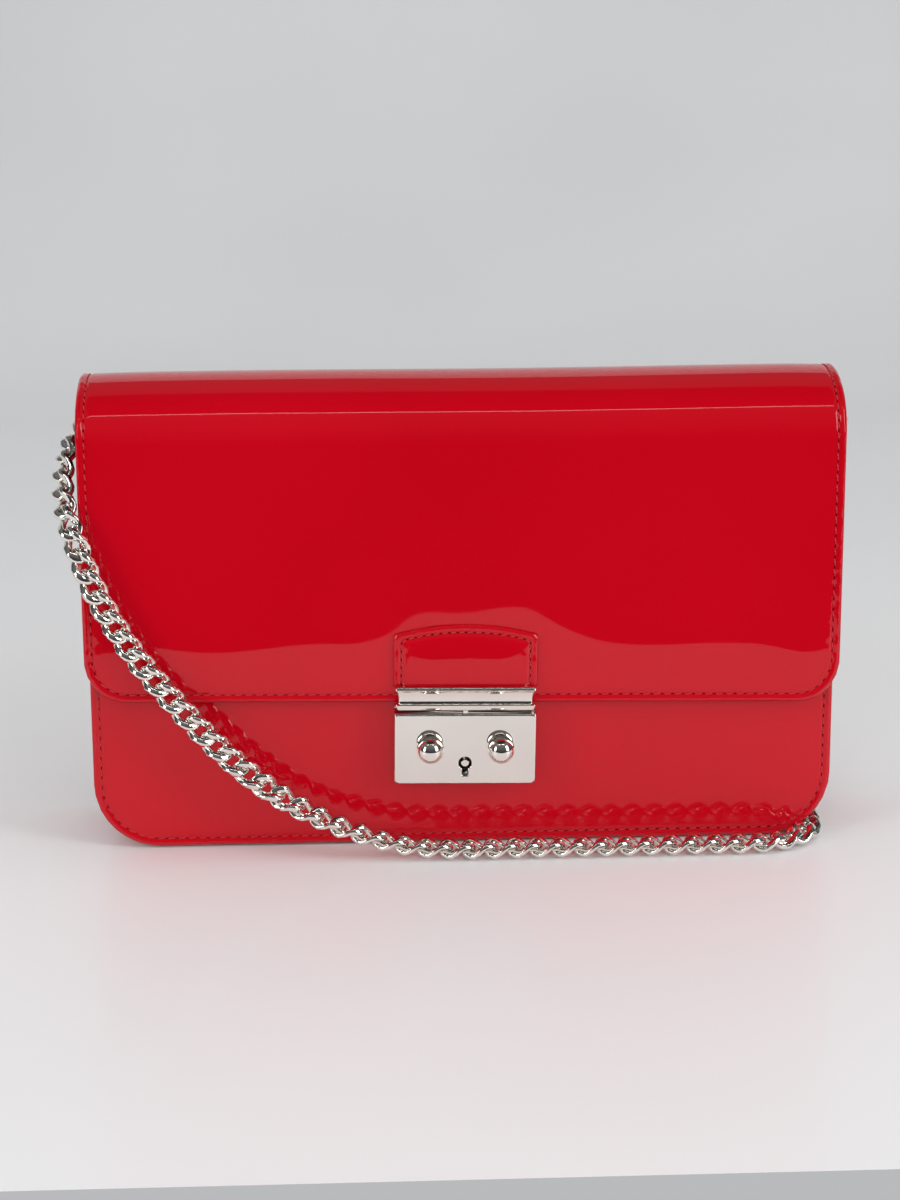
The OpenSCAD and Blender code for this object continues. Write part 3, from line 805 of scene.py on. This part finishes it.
def place_shell(x, s, depth):
    """A point of the flap and back shell; the front edge leans and the crown sags a little."""
    (y, z), (ny, nz) = on_profile(s)
    fade = max(0.0, 1 - s / 60)
    z -= x * math.tan(lean) * fade
    crown = math.exp(-((s - 92) / 26) ** 2)
    z -= crown * (0.35 * math.cos(x / 97 * math.pi / 2) + 0.12 * math.sin(x / 22))
    return Vector((x, flap_y / MM + y - ny * depth, z - nz * depth)) * MM


def place_flap_back(x, s, depth):
    """Narrows from the flap's width to the back panel's below the hinge."""
    t = min(max((s - HINGE_AT + 6) / 12, 0), 1)
    narrow = 1 - (1 - panel_half / flap_half) * t
    return place_shell(x * narrow, s, depth)


FLAP_CORNER = 11.0
PANEL_CORNER = 17.0
SHELL_THICK = 2.1


def blend_over_hinge(piece):
    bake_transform(piece)


def make_shell():
    piece = two_ended_sheet("flap_and_back_leather", flap_half / MM, SHELL_LENGTH,
                            (FLAP_CORNER, PANEL_CORNER), place_flap_back, (0.0, SHELL_THICK), SHEET_MATS)
    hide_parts("flap_skin", "back_panel", "flap_board", "back_board")
    blend_over_hinge(piece)
    return piece


def make_shell_lining():
    half = flap_half / MM - 0.35

    def place(x, s, depth):
        t = min(max((s - HINGE_AT) / 8, 0), 1)
        return place_flap_back(x * (1 - 0.035 * t), s, depth)

    piece = two_ended_sheet("flap_and_back_lining", half, SHELL_LENGTH - 1.0, (FLAP_CORNER, PANEL_CORNER),
                            place, (SHELL_THICK, SHELL_THICK + 0.6), LINING_MATS, relief=0.0, wave=0.0)
    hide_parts("flap_lining", "back_lining")
    blend_over_hinge(piece)
    return piece


def make_shell_stitches():
    """One stitch line round the flap, one down and round the back panel."""
    half = flap_half / MM
    flap_line = inset_line(half, HINGE_AT - 3, FLAP_CORNER, STITCH_INSET)
    flap = stitches("flap_stitches", flap_line, place_flap_back)
    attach(flap, "flap")
    back = inset_line(half, SHELL_LENGTH - HINGE_AT - 2, PANEL_CORNER, STITCH_INSET)
    back = [Vector((p.x, SHELL_LENGTH - p.y, 0)) for p in back]
    back_piece = stitches("back_stitches", back, place_flap_back)
    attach(back_piece, "bag")


# how much lower than its CAD node the drawn front panel hangs, in mm
FRONT_DROP = 0.55


def place_front(x, s, depth):
    """The front panel stands upright; s runs up from its bottom edge."""
    return Vector((x * MM, face_y + depth * MM, base_z + (s - FRONT_DROP) * MM))


def make_front_panel():
    height = (front_high.z - front_low.z) / MM + FRONT_DROP
    half = panel_half / MM
    piece = sheet_mesh("front_panel_leather", half, height, PANEL_CORNER, place_front, 1.1, SHEET_MATS,
                       wave=0.9)
    ride_as(piece, "bag", "patent_leather", "front_panel")
    line = inset_line(half, height - 3, PANEL_CORNER, STITCH_INSET)
    seams = stitches("front_panel_stitches", line, place_front)
    ride_as(seams, "bag", "patent_leather")


def u_line(half, low, corner, top):
    """The gusset's line in (x, z), from the left top round the base to the right top."""
    pts = [(-half, top - (top - low - corner) * i / 14) for i in range(15)]
    pts += arc(-half + corner, low + corner, corner, 180, 270, 12)[1:]
    pts += [(-half + corner + (2 * half - 2 * corner) * i / 24, low) for i in range(1, 24)]
    pts += arc(half - corner, low + corner, corner, 270, 360, 12)
    pts += [(half, low + corner + (top - low - corner) * i / 14) for i in range(1, 15)]
    return pts


def make_strip(name, half, low, corner, top, thick, y0, y1, bow, mats, slot, node):
    """A gusset strip: its sides bow in towards the bag, its base stays on the floor."""
    line = u_line(half, low, corner, top)
    count = len(line)
    across = [0, 0.02, 0.06, 0.12, 0.2, 0.3, 0.4, 0.5, 0.6, 0.7, 0.8, 0.88, 0.94, 0.98, 1]
    outer, inner, edge = [], [], []
    for i, (x, z) in enumerate(line):
        a = line[max(i - 1, 0)]
        b = line[min(i + 1, count - 1)]
        dx, dz = b[0] - a[0], b[1] - a[1]
        size = math.hypot(dx, dz)
        nx, nz = dz / size, -dx / size
        upright = abs(nx) ** 2
        for t in across:
            dip = bow * upright * math.sin(math.pi * t) * (0.35 + 0.65 * min(1, max(0, (z - low) / 60)))
            lift = 0.12 * math.sin(z / 13 + 6 * t) * upright
            tuck = (1.0 - upright) * 0.9 * (2 * t - 1) ** 6
            sink = dip + lift + tuck
            y = y0 + (y1 - y0) * t
            outer.append(Vector(((x - nx * sink), y, (z - nz * sink))) * MM)
            inner.append(Vector(((x - nx * (sink + thick)), y, (z - nz * (sink + thick)))) * MM)
            edge.append(min(t, 1 - t) * (y1 - y0))
    wide = len(across)
    piece = close_grid(name, outer, inner, edge, wide, count, mats)
    face_outwards(piece)
    ride_as(piece, "bag", slot, node)
    return piece


def make_gusset():
    half = gusset_high.x / MM
    top = gusset_high.z / MM
    make_strip("gusset_leather", half, 0.02, 15.2, top, 1.1, gusset_low.y / MM, gusset_high.y / MM, 1.6,
               SHEET_MATS, "patent_leather", "gusset")
    low, high = low_high("gusset_lining")
    make_strip("gusset_lining_leather", high.x / MM - 0.1, 1.3, 14, high.z / MM, 0.5, low.y / MM,
               high.y / MM, 1.6, LINING_MATS, "lining", "gusset_lining")


def make_inner_sheets():
    """The front lining and both pockets, as soft sheets with a rolled top edge."""
    sheets = (("front_lining", 14, 0.6), ("slip_pocket", 10, 0.8), ("zip_pocket", 8, 0.8))
    for node, corner, thick in sheets:
        low, high = low_high(node)
        facing = node != "zip_pocket"
        half = high.x / MM
        height = (high.z - low.z) / MM
        y = high.y if facing else low.y
        way = -1 if facing else 1

        def place(x, s, depth, y=y, low=low, way=way):
            return Vector((x * MM, y + way * max(depth, 0.0) * MM + way * 0.0002, low.z + s * MM))

        piece = sheet_mesh(node + "_leather", half, height, corner, place, thick, LINING_MATS,
                           top_edge=True, relief=0.5, wave=0.4, step=5)
        face_outwards(piece)
        ride_as(piece, "bag", "lining", node)


make_shell()
make_shell_lining()
make_shell_stitches()
make_front_panel()
make_gusset()
make_inner_sheets()


# ---------------------------------------------------------------- tab, hasp and lock
# places in the lock's own frame, in mm: x across, y in from the leather's face, z up
PLATE_FRONT = -7.4
PLATE_THICK = 1.0
KEYHOLE_Z = -3.8
KEYHOLE_R = 1.7
KEYHOLE_SLOT = 0.75
STUD_X = 9.1
STUD_Z = 0.6
STUD_TRAVEL = 1.6
STUD_R = 3.6
NECK_R = 1.0
HASP_LOW = 10.2
HASP_HIGH = 16.5
HASP_WIDTH = 36.4
TAB_SEAT = -4.0


def to_world(points):
    return [lock_mm @ Vector(p) for p in points]


def make_hasp_tab():
    """The padded leather tab: an arched sheet, puffy inside its stitch line."""
    half = 18.6
    low, shoulder, peak = HASP_HIGH - 0.1, 29.8, 32.6
    seat = TAB_SEAT
    radius = (half ** 2 + (peak - shoulder) ** 2) / (2 * (peak - shoulder))

    def top(x):
        return peak - radius + math.sqrt(radius ** 2 - x ** 2)

    def distance(x, z):
        d = min(half - abs(x), top(x) - z)
        r = 1.6
        dx, dz = half - abs(x), top(x) - z
        if dx < r and dz < r:
            d = r - math.hypot(r - dx, r - dz)
        return max(d, 0)

    side = [0, 0.15, 0.4, 0.8, 1.3, 1.7, 2.0, 2.3, 2.8, 3.4, 4.4]
    xs = [-half + i for i in side] + [-half + 4.4 + (2 * half - 8.8) * k / 20 for k in range(1, 20)]
    xs += [half - i for i in reversed(side)]
    rows = 16
    outer, under, edge = [], [], []
    levels = [i / rows * 0.74 for i in range(rows)] + [1 - i / 15 for i in reversed(side)]
    levels = sorted(set(round(v, 4) for v in levels if v >= 0))
    for v in levels:
        for x in xs:
            z = low + (top(x) - low) * v
            d = distance(x, z)
            puff = 0.75 * (1 - math.exp(-max(0, d - 2.2) / 1.6))
            base = 1.15 - 0.5 * max(0, 1 - d / 0.6) ** 2 - 0.35 * math.exp(-((d - 2.0) / 0.5) ** 2)
            outer.append(lock_mm @ Vector((x, seat - base - puff * 0.55, z)))
            under.append(lock_mm @ Vector((x, seat + 0.15, z)))
            edge.append(d)
    piece = close_grid("hasp_tab_leather", outer, under, edge, len(xs), len(levels), SHEET_MATS)
    ride_as(piece, "flap", "patent_leather", "hasp_tab")

    def place(x, z, depth):
        return lock_mm @ Vector((x, seat - 0.82 + depth, z))

    inset = 1.95
    line = [Vector((-half + inset, low + 0.4, 0))]
    line += [Vector((-half + inset, top(half) - inset, 0))]
    crown = [(-half + 2.4) + (2 * half - 4.8) * k / 16 for k in range(17)]
    line += [Vector((x, top(x) - inset, 0)) for x in crown]
    line += [Vector((half - inset, top(half) - inset, 0)), Vector((half - inset, low + 0.4, 0))]
    seams = stitches("hasp_tab_stitches", line, place, pitch=2.2, level=0.0)
    ride_as(seams, "flap", "patent_leather")


def rounded_rect(w, y0, y1, r, steps=4):
    """Outline in (x, y): square at the back, round at the two front corners."""
    pts = [(w / 2, y1), (-w / 2, y1)]
    pts += arc(-w / 2 + r, y0 + r, r, 180, 270, steps)
    pts += arc(w / 2 - r, y0 + r, r, 270, 360, steps)
    return pts


def make_hasp():
    """A bar with a hollow moulding round its front and both ends, and the tongue under it."""
    low, front, back = HASP_LOW, PLATE_FRONT, TAB_SEAT
    width = HASP_WIDTH
    heights = [(0.0, 0.80), (0.12, 0.55), (0.5, 0.36), (1.0, 0.20), (1.45, 0.12), (1.6, 0.16), (1.68, 0.42),
               (1.8, 0.86), (2.1, 0.93), (2.6, 0.94), (3.2, 0.90), (3.8, 0.80), (4.4, 0.62), (4.9, 0.40),
               (5.25, 0.18), (5.4, 0.06), (5.55, 0.0), (5.7, 0.02), (6.0, 0.14), (6.2, 0.30), (6.3, 0.5)]
    rings = []
    for h, inset in heights:
        outline = rounded_rect(width - 2 * inset, front + inset, back, 0.5)
        rings.append(to_world([(x, y, low + h) for x, y in outline]))
    parts = [loft(rings)]
    lip = rounded_rect(width, back, -0.3, 0.1, 1)
    parts.append(loft([to_world([(x, y, z) for x, y in lip]) for z in (low, low + 0.3)]))
    tongue = rounded_rect(1.3, -6.9, -5.5, 0.2, 2)
    parts.append(loft([to_world([(x, y, z) for x, y in tongue]) for z in (low - 0.7, low + 0.1)]))
    verts, faces = join_lists(parts)
    piece = mesh_piece("hasp_bar", verts, faces, [METAL], smooth=False)
    finish_metal(piece, "flap", "hasp")


def finish_metal(piece, body, node, width=0.0):
    """Softens the edges of a metal piece and gives it clean normals."""
    bm = bmesh.new()
    bm.from_mesh(piece.data)
    bmesh.ops.remove_doubles(bm, verts=bm.verts, dist=1e-6)
    if width:
        sharp = [e for e in bm.edges if len(e.link_faces) == 2 and e.calc_face_angle(0) > math.radians(40)]
        bmesh.ops.bevel(bm, geom=sharp, offset=width, segments=2, affect="EDGES", clamp_overlap=True)
    bmesh.ops.recalc_face_normals(bm, faces=bm.faces)
    bm.to_mesh(piece.data)
    bm.free()
    for polygon in piece.data.polygons:
        polygon.use_smooth = True
    piece.data.set_sharp_from_angle(angle=math.radians(28))
    ride_as(piece, body, "polished_metal", node)


def keyhole_outline(grow):
    """The keyhole as points in (x, z): a round hole with a slot below it."""
    radius = KEYHOLE_R + grow
    slot = KEYHOLE_SLOT + grow
    low = -3.4 - grow
    start = -90 + math.degrees(math.asin(slot / radius))
    pts = arc(0, 0, radius, start, 360 - 90 - (start + 90), 26)
    pts += [(-slot, low + 0.2), (-slot + 0.2, low), (slot - 0.2, low), (slot, low + 0.2)]
    return [(x, z + KEYHOLE_Z) for x, z in pts]


def stud_slot_outline(side, grow):
    """The slot that a stud's neck slides in, towards the middle."""
    radius = NECK_R + 0.12 + grow
    pts = arc(STUD_X, STUD_Z, radius, -90, 90, 12) + arc(STUD_X - STUD_TRAVEL, STUD_Z, radius, 90, 270, 12)
    return [(side * x, z) for x, z in pts]


def plate_outline(grow):
    """The face's outline: square above, small round corners below."""
    w = (plate_high.x - plate_low.x) / MM / 2 - 0.15 + grow
    h = (plate_high.z - plate_low.z) / MM / 2 - 0.28 + grow
    pts = arc(w - 0.5, h - 0.5, 0.5, 0, 90, 4) + arc(-w + 0.5, h - 0.5, 0.5, 90, 180, 4)
    return pts + arc(-w + 1.3, -h + 1.3, 1.3, 180, 270, 8) + arc(w - 1.3, -h + 1.3, 1.3, 270, 360, 8)


def make_plate():
    """The lock's face: a polished plate with rounded edges, two stud slots and a keyhole."""
    front, back = PLATE_FRONT, PLATE_FRONT + PLATE_THICK
    steps = [(0.0, -0.42), (0.0, -0.24), (0.04, -0.12), (0.12, -0.04), (0.26, 0.0)]
    outlines = [plate_outline, keyhole_outline]
    outlines += [lambda grow, side=side: stud_slot_outline(side, grow) for side in (-1, 1)]
    bm = bmesh.new()
    for number, outline in enumerate(outlines):
        way = 1 if number == 0 else -1
        rings = [to_world([(x, front + depth, z) for x, z in outline(way * grow)]) for depth, grow in steps]
        rings.append(to_world([(x, back, z) for x, z in outline(0)]))
        verts, faces = loft(rings, caps=False)
        made = [bm.verts.new(v) for v in verts]
        for face in faces:
            bm.faces.new([made[i] for i in face])
    for level in (front, back):
        rim = [e for e in bm.edges if e.is_boundary
               and all(abs((lock_mm.inverted() @ v.co).y - level) < 0.01 for v in e.verts)]
        bmesh.ops.triangle_fill(bm, edges=rim, use_beauty=True, use_dissolve=False)
    mesh = bpy.data.meshes.new("lock_face")
    bm.to_mesh(mesh)
    bm.free()
    mesh.materials.append(METAL)
    piece = bpy.data.objects.new("lock_face", mesh)
    bpy.context.scene.collection.objects.link(piece)
    finish_metal(piece, "bag", "lock_plate")


def lathe(profile, place, sides=48):
    """Turns (radius, depth) pairs about a depth axis."""
    turn = [2 * math.pi * k / sides for k in range(sides)]
    return loft([[place(r * math.cos(a), r * math.sin(a), depth) for a in turn] for r, depth in profile])


def make_studs():
    """Ball studs, each a little flattened at the back, on a short neck."""
    for side, body in ((-1, "left_push"), (1, "right_push")):
        centre = (side * STUD_X, -10.0, STUD_Z)

        def place(a, b, depth, centre=centre):
            return lock_mm @ Vector((centre[0] + a, centre[1] + depth, centre[2] + b))

        ball = [(0.02, -STUD_R)]
        turns = [math.radians(t) for t in range(6, 132, 6)]
        ball += [(STUD_R * math.sin(t), -STUD_R * math.cos(t)) for t in turns]
        ball += [(2.55, 2.45), (NECK_R, 2.45), (NECK_R, 6.4), (0.02, 6.4)]
        verts, faces = lathe(ball, place)
        name = body.replace("_push", "_ball_stud")
        piece = mesh_piece(name, verts, faces, [METAL])
        finish_metal(piece, body, body.replace("_push", "_stud"))


def make_key_pin():
    """The pin in the keyhole, a little behind the face."""
    profile = [(0.02, -7.0), (0.7, -7.0), (0.82, -7.0), (1.0, -6.92), (1.05, -6.75), (1.05, -1.3),
               (0.02, -1.3)]

    def place(a, b, depth):
        return lock_mm @ Vector((a, depth, KEYHOLE_Z + b))

    verts, faces = lathe(profile, place, 32)
    piece = mesh_piece("keyhole_pin", verts, faces, [METAL])
    finish_metal(piece, "bag", "key_post")


def make_lock_case():
    """The case behind the face: the CAD node's shape with softened edges."""
    source = frame["nodes"]["lock_case"]
    mesh = source.data.copy()
    mesh.name = "lock_body"
    mesh.materials.clear()
    mesh.materials.append(METAL)
    piece = bpy.data.objects.new("lock_body", mesh)
    piece.matrix_world = source.matrix_world.copy()
    bpy.context.scene.collection.objects.link(piece)
    finish_metal(piece, "bag", "lock_case", 0.0002)


# ---------------------------------------------------------------- strap rings and tabs
def make_ring(side):
    """A D of round wire, hung in its tab."""
    name = "left" if side < 0 else "right"
    pivot = Vector(joints[name + "_ring_hinge"]["pos_m"])
    tilt = math.radians(60)
    out = Vector((side * math.cos(tilt), 0, math.sin(tilt)))
    across = Vector((0, 1, 0))
    radius = 5.0
    line = [(-radius * 0.92 + 1.84 * radius * i / 6, 0) for i in range(7)]
    line += [(radius, 0.35)]
    line += [(a, 1 + b) for a, b in arc(0, 0, radius, 0, 180, 22)]
    line += [(-radius, 0.35)]
    points = [pivot + (across * a + out * b) * MM for a, b in line]
    normal = across.cross(out)
    rings = []
    count = len(points)
    for i, p in enumerate(points):
        tangent = (points[(i + 1) % count] - points[i - 1]).normalized()
        flat = tangent.cross(normal)
        turn = [2 * math.pi * k / 14 for k in range(14)]
        rings.append([p + (flat * math.cos(a) + normal * math.sin(a)) * 0.9 * MM for a in turn])
    verts, faces = loft(rings, closed=True)
    piece = mesh_piece(name + "_d_ring", verts, faces, [METAL])
    finish_metal(piece, name + "_strap_ring", name + "_ring")


def make_ring_tab(side):
    """A folded leather tab whose loop holds the ring; two stitch rows close it."""
    name = "left" if side < 0 else "right"
    node = "ring_tab_" + name
    low, high = low_high(node)
    pivot = Vector(joints[name + "_ring_hinge"]["pos_m"])
    ring_x = abs(pivot.x) / MM
    wall = abs(gusset_high.x) / MM + 0.02
    loop = [(wall, low.z / MM + 0.2)]
    loop += [(wall, 92), (wall + 0.05, 99)]
    loop += [(ring_x + 1.62 * math.cos(math.radians(a)), pivot.z / MM + 1.62 * math.sin(math.radians(a)))
             for a in range(200, -30, -20)]
    loop += [(wall + 1.75, 98.6), (wall + 1.6, 92), (wall + 1.55, low.z / MM + 0.2)]
    width = 3.75
    across = [-1, -0.97, -0.86, -0.6, -0.3, 0, 0.3, 0.6, 0.86, 0.97, 1]
    outer, inner, edge = [], [], []
    count = len(loop)
    for i, (x, z) in enumerate(loop):
        a, b = loop[max(i - 1, 0)], loop[min(i + 1, count - 1)]
        size = math.hypot(b[0] - a[0], b[1] - a[1])
        nx, nz = -(b[1] - a[1]) / size, (b[0] - a[0]) / size
        for t in across:
            y = mid_y / MM + t * width
            lift = 0.5 - 0.12 * abs(t) ** 6
            outer.append(Vector((side * (x + nx * lift), y, z + nz * lift)) * MM)
            inner.append(Vector((side * (x - nx * 0.5), y, z - nz * 0.5)) * MM)
            edge.append((1 - abs(t)) * width)
    piece = close_grid("ring_tab_leather_" + name, outer, inner, edge, len(across), count, SHEET_MATS)
    face_outwards(piece)
    ride_as(piece, "bag", "patent_leather", node)

    def place(a, z, depth):
        return Vector((side * (wall + 2.1 - depth), mid_y / MM + a, z)) * MM

    z0, z1 = low.z / MM + 1.4, 98
    line = [Vector((-2.6, z1, 0)), Vector((-2.6, z0, 0)), Vector((2.6, z0, 0)), Vector((2.6, z1, 0))]
    seams = stitches("ring_tab_stitches_" + name, line, place, pitch=2.4, level=0.0)
    ride_as(seams, "bag", "patent_leather")


make_hasp_tab()
make_hasp()
make_plate()
make_lock_case()
make_studs()
make_key_pin()
for which in (-1, 1):
    make_ring(which)
    make_ring_tab(which)


# ---------------------------------------------------------------- CAD nodes that stay
KEPT = {
    "front_board": BOARD, "zip_facing": LINING, "zip_tape_upper": TAPE, "zip_tape_lower": TAPE,
    "zip_teeth": METAL, "zip_stop_left": METAL, "zip_stop_right": METAL, "zip_slider": METAL,
    "zip_pull": METAL,
    "hasp_backplate": METAL, "hasp_rivet_left": METAL, "hasp_rivet_right": METAL, "lock_backplate": STEEL,
    "lock_screw_1": STEEL, "lock_screw_2": STEEL, "lock_screw_3": STEEL, "lock_screw_4": STEEL,
    "left_bolt": BRASS, "right_bolt": BRASS, "left_spring": STEEL, "right_spring": STEEL,
}
for node, mat in KEPT.items():
    piece = frame["nodes"][node]
    piece.data.materials.clear()
    piece.data.materials.append(mat)


# ---------------------------------------------------------------- floor, backdrop and light
def make_stage():
    """A pale sweep: floor in front, curving up behind; it ends ahead of the purse."""
    shader = Shader("sweep")
    place = shader.nodes.new("ShaderNodeTexCoord")
    split = shader.nodes.new("ShaderNodeSeparateXYZ")
    shader.links.new(place.outputs["Object"], split.inputs["Vector"])
    depth = scalar(shader, "ADD", split.outputs["Y"], shader.noise(3, 2))
    depth = scalar(shader, "MULTIPLY", depth, 0.5)
    # The sweep is painted darker towards the back, unevenly through a noise: painted shade of the light falling
    # off with distance.
    shader.ramp(depth, (0.935, 0.935, 0.935), (0.75, 0.75, 0.755), 0.2, 0.8)
    shader.set(Roughness=0.5, Coat_Weight=0.2, Coat_Roughness=0.12)
    line = [(-0.205, 0), (0.0, 0), (0.6, 0)] + [(0.6 + a, 0.5 + b) for a, b in arc(0, 0, 0.5, 270, 360, 16)]
    line += [(1.1, 0.9)]
    rings = [[Vector((-2.2, y, z - 0.0003)), Vector((2.2, y, z - 0.0003))] for y, z in line]
    verts = [p for ring in rings for p in ring]
    faces = [(2 * i, 2 * i + 1, 2 * i + 3, 2 * i + 2) for i in range(len(line) - 1)]
    floor = mesh_piece("sweep", verts, faces, [shader.mat])


def area_light(name, location, aim, size, power, glossy=True):
    data = bpy.data.lights.new(name, "AREA")
    data.shape = "RECTANGLE"
    data.size, data.size_y = size
    data.energy = power
    light = bpy.data.objects.new(name, data)
    bpy.context.scene.collection.objects.link(light)
    light.location = location
    way = Vector(aim) - Vector(location)
    light.rotation_euler = way.to_track_quat("-Z", "Y").to_euler()
    light.visible_glossy = glossy


ROOM_LIGHT = 0.50


def make_world():
    """A pale room that lights the purse all round, and that its gloss sees as a dim one."""
    world = bpy.data.worlds.new("room")
    bpy.context.scene.world = world
    world.use_nodes = True
    tree = world.node_tree
    background = tree.nodes["Background"]
    background.inputs["Color"].default_value = (0.97, 0.985, 1, 1)
    ray = tree.nodes.new("ShaderNodeLightPath")
    way = tree.nodes.new("ShaderNodeTexCoord")
    split = tree.nodes.new("ShaderNodeSeparateXYZ")
    tree.links.new(way.outputs["Generated"], split.inputs["Vector"])
    height = scalar(tree, "MULTIPLY", split.outputs["Z"], 0.5)
    height = scalar(tree, "ADD", height, 0.5)
    glow = tree.nodes.new("ShaderNodeValToRGB")
    elements = glow.color_ramp.elements
    elements.new(0.5)
    for element, (place, shade) in zip(elements, [(0.45, 0.03), (0.93, 0.17), (0.95, 0.03)]):
        element.position = place
        element.color = (shade, shade, shade, 1)
    tree.links.new(height, glow.inputs["Fac"])
    level = scalar(tree, "SUBTRACT", glow.outputs["Color"], ROOM_LIGHT)
    level = scalar(tree, "MULTIPLY", level, ray.outputs["Is Glossy Ray"])
    level = scalar(tree, "ADD", level, ROOM_LIGHT)
    tree.links.new(level, background.inputs["Strength"])


def make_lights():
    make_world()
    area_light("top_softbox", (0, -0.1, 1.3), (0, 0, 0), (1.2, 0.8), 1.8, glossy=False)
    area_light("front_fill", (0, -1.5, 0.5), (0, 0, 0.05), (1.2, 0.8), 7.0, glossy=False)
    area_light("right_softbox", (1.05, -0.75, 0.55), (0, 0, 0.06), (0.45, 0.9), 6)
    area_light("left_softbox", (-1.1, -0.8, 0.5), (0, 0, 0.06), (0.3, 0.8), 4)
    area_light("front_strip", (0, -0.6, 1.2), (0, 0, 0.1), (1.3, 0.035), 0.7)


make_stage()
make_lights()
view = bpy.context.scene.view_settings
view.view_transform = "Standard"
view.look = "None"
